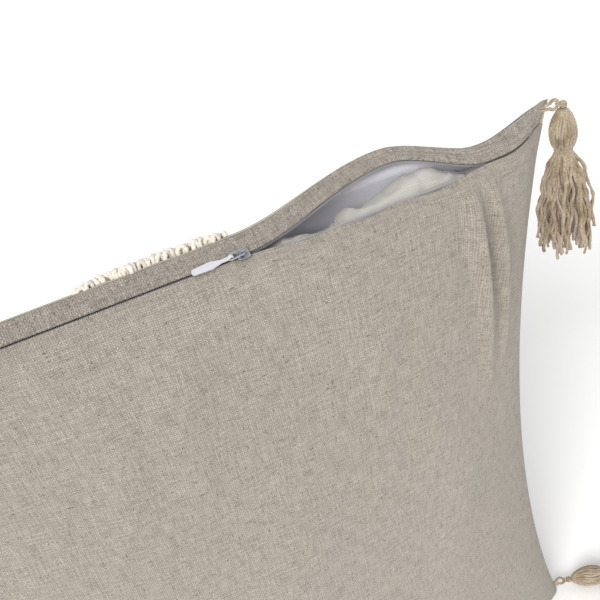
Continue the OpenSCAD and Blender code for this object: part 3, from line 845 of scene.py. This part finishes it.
# %% Slider, link and tab
def softened(node, name, width, material, body, segments=3):
    piece = bpy.data.objects.new(name, frame["nodes"][node].data.copy())
    bpy.context.scene.collection.objects.link(piece)
    bm = bmesh.new()
    bm.from_mesh(piece.data)
    bmesh.ops.remove_doubles(bm, verts=bm.verts, dist=1e-6)
    bmesh.ops.dissolve_limit(bm, angle_limit=math.radians(4), verts=bm.verts, edges=bm.edges)
    sharp = [e for e in bm.edges if len(e.link_faces) == 2 and e.calc_face_angle(0) > math.radians(35)]
    bmesh.ops.bevel(bm, geom=sharp, offset=width, segments=segments, profile=0.6, affect="EDGES", clamp_overlap=True)
    bm.normal_update()
    bm.to_mesh(piece.data)
    bm.free()
    piece.data.polygons.foreach_set("use_smooth", [True] * len(piece.data.polygons))
    give(piece, material)
    attach(piece, body, [node])
    return piece


softened("slider_body", "slider_body_cast", 0.00022, zip_metal, "slider")
softened("slider_bridge", "slider_bridge_cast", 0.00015, zip_metal, "slider")
softened("pull_tab", "pull_tab_leaf", 0.0003, pull_enamel, "pull_tab")
give(frame["nodes"]["pull_link"], zip_metal)

# %% [markdown]
# The insert is a white cushion of its own. Its cloth is a little too large for its filling, so it
# crinkles, which is what shows in the mouth. It is one closed form, swollen and buckled by the same
# simulation, with finer creases pressed in near the opening.

# %% Insert and filling
insert_sx = 1 - 0.010 / half_w
insert_sz = 1 - 0.015 / (cover_h - top_dip)
insert_z = float(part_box("insert_back")[0][2])


def insert_at(u, v, side, rise=front_rise - 0.005):
    up = np.maximum(v, 0)
    z = ridge_z(u) * up
    low = v < 0
    flat_y = base_half * thin(u) * insert_sx
    y = np.where(low, flat_y * (1 + v), flat_y * (1 - v) + rise * dome(u, v))
    return np.stack([np.where(low, u * half_w, u * side_x(z)) * insert_sx, side * y, z * insert_sz + insert_z], -1)


ring_v = np.concatenate([[-0.5], 0.5 + 0.5 * spaced(70)])
iu, iv = np.meshgrid(spaced(100), ring_v, indexing="ij")
insert_points = np.concatenate([insert_at(iu, iv, -1), insert_at(iu, iv[:, ::-1], 1)[:, 1:]], 1)
rings, sides = insert_points.shape[:2]
across, up = cloth_lengths(insert_points)
insert = new_piece("insert_cushion", insert_points.reshape(-1, 3), tube_faces(rings, sides, flip=True, caps=False),
                   np.stack([across, up], -1).reshape(-1, 2))
flat = insert_points.reshape(-1, 3)
edge = (np.abs(flat[:, 0]) > 0.94 * insert_sx * side_x(flat[:, 2])) | (flat[:, 2] < 0.02)
flat = relax(insert, edge, 5.0, 0.035, 0.0045, bending=0.6)
flat = finer(finer(flat.reshape(rings, sides, 3), 2, 0), 2, 1)
rings, sides = flat.shape[:2]
across, up = cloth_lengths(flat)
bpy.data.objects.remove(insert, do_unlink=True)
flat = flat.reshape(-1, 3)
insert = new_piece("insert_cushion", flat, tube_faces(rings, sides, flip=True, caps=False),
                   np.stack([across, up], -1).reshape(-1, 2))
near_top = smooth((flat[:, 2] - 0.385) / 0.035)
in_mouth = smooth((flat[:, 0] - 0.010) / 0.04) * smooth((0.190 - flat[:, 0]) / 0.03)
creases = 1 - 3.2 * np.abs(noise3(flat * np.array([1, 1, 0.6]), 24, 21)) ** 0.8
small = 1 - 2.5 * np.abs(noise3(flat, 60, 22))
swell = smooth((flat[:, 0] - 0.085) / 0.035)
fold = np.exp(-((flat[:, 0] - 0.078 + 0.25 * flat[:, 1]) / 0.0065) ** 2)
flat[:, 2] += near_top * in_mouth * (-0.0040 + 0.0085 * swell + 0.0062 * creases + 0.0020 * small - 0.0085 * fold)
flat[:, 2] = np.minimum(flat[:, 2], 0.4345)
flat[:, 1] += near_top * (0.0022 * noise3(flat, 45, 23) + 0.0012 * small) * np.sign(flat[:, 1])
set_points(insert, flat)
give(insert, insert_cloth)
attach(insert, "pillow", ["insert_back", "insert_front"])

fill_u, fill_v = np.meshgrid(spaced(48), 0.5 + 0.5 * spaced(36) * 0.985, indexing="ij")
fill_points = np.concatenate([insert_at(fill_u, fill_v, -1), insert_at(fill_u, fill_v[:, ::-1], 1)], 1)
fill_points = fill_points * np.array([0.955, 0.90, 0.96]) + np.array([0, 0, 0.009])
fill_points[..., 1] += 0.002 * noise3(fill_points, 30, 31) * np.sign(fill_points[..., 1])
filling = new_piece("filling_batt", fill_points.reshape(-1, 3), tube_faces(*fill_points.shape[:2], flip=True, caps=False))
give(filling, filling_fibre)
attach(filling, "pillow", ["insert_filling"])

# %% [markdown]
# The front is tufted: thick cotton yarn is punched through the cloth in small loops, in zigzag
# rows with a border along the top edge. Each loop is a short arch of yarn with its own lean and
# height, because a row of equal loops would look moulded. A loop goes with the part under it.

# %% Tufts
def on_front(u, v):
    fi = np.interp(u, across_u, np.arange(len(across_u)))
    fj = np.interp(v, up_v_front, np.arange(len(up_v_front)))
    i, j = np.minimum(fi.astype(int), len(across_u) - 2), np.minimum(fj.astype(int), len(up_v_front) - 2)
    a, b = (fi - i)[..., None], (fj - j)[..., None]
    g = front_points
    p = (g[i, j] * (1 - a) + g[i + 1, j] * a) * (1 - b) + (g[i, j + 1] * (1 - a) + g[i + 1, j + 1] * a) * b
    du, dv = g[i + 1, j] - g[i, j], g[i, j + 1] - g[i, j]
    n = np.cross(dv, du)
    return p, n / np.maximum(np.linalg.norm(n, axis=-1, keepdims=True), 1e-12)


rng = np.random.default_rng(7)
tuft_u, tuft_v = [], []
for row in range(5):
    middle = 0.14 + (0.88 - 0.14) * row / 4
    u = np.arange(-0.90, 0.90, 0.0145)
    q = u * 4 / 2
    zig = 2 * np.abs(2 * (q - np.floor(q)) - 1) - 1
    for step in (-1.5, -0.5, 0.5, 1.5):
        tuft_u.append(u + rng.uniform(-0.004, 0.004, len(u)))
        tuft_v.append(middle + 0.045 * zig + step * 0.0088 + rng.uniform(-0.002, 0.002, len(u)))
in_rows = sum(len(u) for u in tuft_u)
for k, v in enumerate((0.935, 0.945, 0.955, 0.965, 0.975, 0.985, 0.9945)):
    u = np.arange(-0.30 + 0.020 * (6 - k), 0.085 - 0.020 * (6 - k), 0.0095)
    tuft_u.append(u + rng.uniform(-0.004, 0.004, len(u)))
    tuft_v.append(v + rng.uniform(-0.003, 0.003, len(u)))
tuft_u, tuft_v = np.concatenate(tuft_u), np.concatenate(tuft_v)
border = np.arange(len(tuft_u)) >= in_rows
ends = smooth((tuft_u + 0.31) / 0.09) * smooth((0.095 - tuft_u) / 0.09)
base, normal = on_front(tuft_u, tuft_v)
lean = rng.normal(size=base.shape)
lean -= (lean * normal).sum(1, keepdims=True) * normal
lean /= np.linalg.norm(lean, axis=1, keepdims=True)
tall = rng.uniform(0.0042, 0.0062, len(base)) * np.where(border, 0.35 + 0.40 * ends, 1)
span = rng.uniform(0.0014, 0.0022, len(base)) * np.where(border, 1.25, 1)
a = np.linspace(-0.15, math.pi + 0.15, 8)
loops = (base[:, None] + lean[:, None] * (np.cos(a)[None, :, None] * span[:, None, None])
         + normal[:, None] * (np.sin(a)[None, :, None] * tall[:, None, None] - 0.0002))
loops += rng.normal(size=(len(base), 1, 3)) * 0.0003
upper = base[:, 2] > cut_at
for name, chosen in (("front_tufting_rows", ~upper), ("front_tufting_lip_left", upper & (base[:, 0] < peak_x)),
                     ("front_tufting_lip_right", upper & (base[:, 0] >= peak_x))):
    tufts = give(sweep(loops[chosen], 0.0014, 6, plies=2, turn=900, name=name), tuft_yarn)
    if name.endswith("rows"):
        attach(tufts, "pillow", ["front_tufting"])
    elif name.endswith("left"):
        left_tufts = tufts
    else:
        ride_lip([left_tufts, tufts], "front_tufting")
print("tufts", len(base))

# %% [markdown]
# A tassel hangs from a cord loop sewn into the corner. Its own yarn is knotted through that loop,
# folded over to make the round head, bound at the neck, and cut to a loose skirt. Every yarn is a
# two-ply tube, so the twist shows. Each tassel is built along its own axis, which runs from the
# knot's place in the frame to the binding's, so all four share one set of functions.

# %% A tassel's place
YARN_R = 0.00088
head_r, head_l, head_from = 0.0080, 0.0250, 0.0029
neck_r, neck_l, skirt_l, skirt_r = 0.0052, 0.0050, 0.0640, 0.0165


def axes_along(direction):
    d = np.array(direction, float)
    d /= np.linalg.norm(d)
    side = np.cross(d, [0, 1, 0] if abs(d[1]) < 0.9 else [1, 0, 0])
    side /= np.linalg.norm(side)
    return side, np.cross(d, side), d


def centre(node):
    low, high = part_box(node)
    return (np.array(low, float) + np.array(high, float)) / 2


def placed(paths, origin, axes):
    side, across, d = axes
    p = np.asarray(paths, float)
    return origin + p[..., 0:1] * side + p[..., 1:2] * across + p[..., 2:3] * d


def lathe(profile, origin, axes, name, sides=40):
    a = np.linspace(0, 2 * np.pi, sides, endpoint=False)
    r, s = np.array(profile).T
    p = np.stack([r[:, None] * np.cos(a), r[:, None] * np.sin(a), s[:, None] + 0 * a], -1)
    return new_piece(name, placed(p, origin, axes).reshape(-1, 3), tube_faces(len(r), sides))

# %% [markdown]
# The loop is a three-ply cord whose two tails are sewn into the corner seam. The knot is yarn wound
# to a small ball round a core, with a bight that passes through the cord loop.

# %% Corner loop and knot
def corner_loop(corner, loop_c, outward, sideways):
    a = np.linspace(-2.55, 2.55, 30)
    ring = loop_c + outward * (np.cos(a) * 0.0030)[:, None] + sideways * (np.sin(a) * 0.0030)[:, None]
    tail = np.linspace(1, 0.2, 6)[:, None]
    sewn = loop_c - outward * 0.0135
    start = ring[0] + (sewn - sideways * 0.0006 - ring[0]) * tail
    end = ring[-1] + (sewn + sideways * 0.0006 - ring[-1]) * tail[::-1]
    path = np.concatenate([start, ring, end])[None]
    loop = give(sweep(path, 0.00098, 10, plies=3, turn=1500, name="hanging_loop_cord_" + corner), tassel_yarn)
    attach(loop, "pillow", ["hanging_loop_" + corner])


def tied_knot(corner, knot_c, axes, loop_c, outward, sideways):
    s = np.linspace(0, 1, 120)
    lat = np.pi * (s - 0.5) * 0.86
    wind = s * 2 * np.pi * 5.5
    ball = np.stack([np.cos(lat) * np.cos(wind), np.cos(lat) * np.sin(wind), np.sin(lat)], -1) * 0.0019
    to_loop = (loop_c - knot_c) / np.linalg.norm(loop_c - knot_c)
    across_ring = np.cross(outward, sideways)
    b = np.linspace(0, 2 * np.pi, 24)[:, None]
    bight = loop_c - to_loop * 0.0041 + (-to_loop * np.cos(b) + across_ring * np.sin(b)) * 0.0021
    profile = [(0.0001, -0.0018), (0.0011, -0.0014), (0.0017, 0), (0.0011, 0.0014), (0.0001, 0.0018)]
    core = lathe(profile, knot_c, axes, "core")
    ball = sweep(placed(ball, knot_c, axes)[None], 0.00068, 8, plies=2, turn=1800, name="ball")
    bight = sweep(bight[None], 0.00055, 8, plies=2, turn=1800, name="bight")
    knot = give(join("tassel_knot_yarn_" + corner, [ball, bight, core]), tassel_yarn)
    attach(knot, "knot_" + corner, ["tassel_knot_" + corner])

# %% [markdown]
# The head is yarns laid side by side over a core, each with its own small sway. The binding is one
# yarn wound six times round the neck, which is what pulls the bulb and the skirt apart.

# %% Head and binding
def bulb(f):
    """The head's radius from its top, 0, to the neck, 1."""
    round_part = (head_r - 0.0030) * np.sin(np.pi * np.clip(f, 0, 1)) ** 0.62
    return 0.0012 + (neck_r - 0.0020) * f ** 1.5 + round_part


def wrapped_head(corner, knot_c, axes, rng, strands=27):
    f = np.linspace(0, 1.04, 26)
    turn = np.arange(strands) * 2 * np.pi / strands + rng.uniform(-0.05, 0.05, strands)
    swirl = turn[:, None] + 0.25 * f[None] + 0.06 * np.sin(f[None] * 9 + rng.uniform(0, 6, (strands, 1)))
    r = bulb(f)[None] * (1 + rng.uniform(-0.03, 0.05, (strands, 1)))
    paths = np.stack([r * np.cos(swirl), r * np.sin(swirl), head_from + 0 * r + f[None] * head_l], -1)
    wall = [(float(bulb(k)) - 0.0004, head_from + k * head_l) for k in np.linspace(0.02, 1, 14)]
    profile = [(0.0001, head_from)] + wall + [(0.0001, head_from + head_l)]
    laid = sweep(placed(paths, knot_c, axes), YARN_R, 8, plies=2, turn=1500, name="strands")
    head = give(join("tassel_head_yarn_" + corner, [laid, lathe(profile, knot_c, axes, "core")]), tassel_yarn)
    attach(head, "tassel_" + corner, ["tassel_head_" + corner])


def neck_binding(corner, knot_c, axes):
    s = np.linspace(0, 1, 150)
    wind = s * 2 * np.pi * 6
    along = head_from + head_l + 0.0005 + s * (neck_l - 0.0008)
    bound = placed(np.stack([neck_r * np.cos(wind), neck_r * np.sin(wind), along], -1), knot_c, axes)
    name = "tassel_binding_yarn_" + corner
    binding = give(sweep(bound[None], 0.00062, 8, plies=2, turn=1700, name=name), tassel_yarn)
    attach(binding, "tassel_" + corner, ["tassel_binding_" + corner])

# %% [markdown]
# The skirt's strands start close under the binding, spread at once and then fall nearly straight,
# each with a slow wave of its own and a thicker cut end. Their lengths differ, so the hem is not
# level. Strands of the lower tassels that would pass under the surface are laid on it.

# %% Skirt
def sway(rng, s, length, strands):
    period = rng.uniform(0.014, 0.026, (strands, 1))
    phase = rng.uniform(0, 6.28, (strands, 1))
    return 0.0008 * np.sin(s * length / period * 6.28 + phase) * np.minimum(1, s * 5)


def cut_skirt(corner, knot_c, axes, rng, strands=96, steps=34):
    s = np.linspace(0, 1, steps)[None]
    reach = np.sqrt(rng.uniform(0.0, 1, (strands, 1)))
    turn = rng.uniform(0, 2 * np.pi, (strands, 1))
    length = skirt_l * rng.uniform(0.84, 1.08, (strands, 1))
    r0 = reach * (neck_r - 0.0011)
    r1 = reach * skirt_r * rng.uniform(0.85, 1.12, (strands, 1))
    r = r0 + (r1 - r0) * (1 - (1 - s) ** 3.2)
    sway_a, sway_b = sway(rng, s, length, strands), sway(rng, s, length, strands)
    curl = turn + 0.35 * s * rng.normal(size=(strands, 1))
    top = head_from + head_l + 0.0022
    paths = placed(np.stack([r * np.cos(curl) + sway_a, r * np.sin(curl) + sway_b, top + s * length], -1),
                   knot_c, axes)
    thick = 1.16 * YARN_R * (1 + 0.10 * np.sin(s * 9 + turn)) * np.where(s > 0.97, 1.15, 1.0)
    if corner.startswith("low"):
        below = np.maximum(0, YARN_R * 1.3 - paths[..., 2])
        paths[..., 2] += below
        paths[..., 1] += np.sign(paths[..., 1] - knot_c[1]) * below * 0.3
    skirt = give(sweep(paths, thick, 7, plies=2, turn=1500, name="tassel_skirt_yarn_" + corner), tassel_yarn)
    attach(skirt, "tassel_" + corner, ["tassel_skirt_" + corner])

# %% [markdown]
# Four corners make four tassels. The upper loops stand upright and the lower ones lie flat, and a
# seed for each corner keeps the tassels different from each other and the same on every run.

# %% The four tassels
def tassel(corner, seed):
    rng = np.random.default_rng(seed)
    knot_c, loop_c = centre("tassel_knot_" + corner), centre("hanging_loop_" + corner)
    axes = axes_along(centre("tassel_binding_" + corner) - knot_c)
    outward = np.array([np.sign(loop_c[0]), 0, 0])
    sideways = np.array([0, 1.0, 0]) if corner.startswith("low") else np.array([0, 0, 1.0])
    corner_loop(corner, loop_c, outward, sideways)
    tied_knot(corner, knot_c, axes, loop_c, outward, sideways)
    wrapped_head(corner, knot_c, axes, rng)
    neck_binding(corner, knot_c, axes)
    cut_skirt(corner, knot_c, axes, rng)


for seed, corner_name in enumerate(("top_left", "top_right", "low_left", "low_right"), start=40):
    tassel(corner_name, seed)
print("tassels hang from", [round(float(c), 4) for c in centre("hanging_loop_top_right")])

# %% [markdown]
# The set is a pale floor under a white sky. A broad soft lamp high on the left, behind the camera,
# is the key, and a weaker and wider one from the right fills the shadows. The camera looks down on
# the top edge from behind the pillow, a little rolled.

# %% Floor, light and camera
floor = new_piece("studio_floor", [(-4, -4, 0), (4, -4, 0), (4, 4, 0), (-4, 4, 0)], [(0, 1, 2, 3)])
floor_finish, _, floor_shader = start_material("matt_white_paper")
set_shader(floor_shader, Base_Color=(0.97, 0.97, 0.97, 1), Roughness=0.9)
give(floor, floor_finish)

world = bpy.data.worlds.new("studio")
bpy.context.scene.world = world
world.use_nodes = True
world.node_tree.nodes["Background"].inputs["Color"].default_value = (1, 1, 1, 1)
world.node_tree.nodes["Background"].inputs["Strength"].default_value = 0.66


def far_lamp(name, direction, strength, spread, colour=(1, 1, 1)):
    """A lamp so far off that it lights the whole floor evenly; spread is its width in degrees."""
    data = bpy.data.lights.new(name, "SUN")
    data.energy, data.angle, data.color = strength, math.radians(spread), colour
    light = bpy.data.objects.new(name, data)
    light.rotation_euler = Vector(direction).to_track_quat("-Z", "Y").to_euler()
    bpy.context.scene.collection.objects.link(light)


far_lamp("key", (0.75, 0.80, -0.70), 2.4, 26, (1.0, 0.99, 0.97))
far_lamp("fill", (-0.85, 0.45, -0.35), 0.6, 40)

eye = Vector((-0.0880, -0.4270, 0.6873))
yaw, pitch, roll = (math.radians(angle) for angle in (18.0, 34.2, -11.54))
forward = Vector((math.sin(yaw) * math.cos(pitch), math.cos(yaw) * math.cos(pitch), -math.sin(pitch)))
level = Vector((math.cos(yaw), -math.sin(yaw), 0))
upright = level.cross(forward)
right_axis = level * math.cos(roll) + upright * math.sin(roll)
up_axis = upright * math.cos(roll) - level * math.sin(roll)
camera_data = bpy.data.cameras.new("camera")
camera_data.sensor_width, camera_data.lens = 36, 56.2
camera_data.clip_start = 0.01
camera = bpy.data.objects.new("camera", camera_data)
camera.matrix_world = Matrix((right_axis, up_axis, -forward)).transposed().to_4x4()
camera.matrix_world.translation = eye
bpy.context.scene.collection.objects.link(camera)
bpy.context.scene.camera = camera
bpy.context.scene.view_settings.view_transform = "Standard"
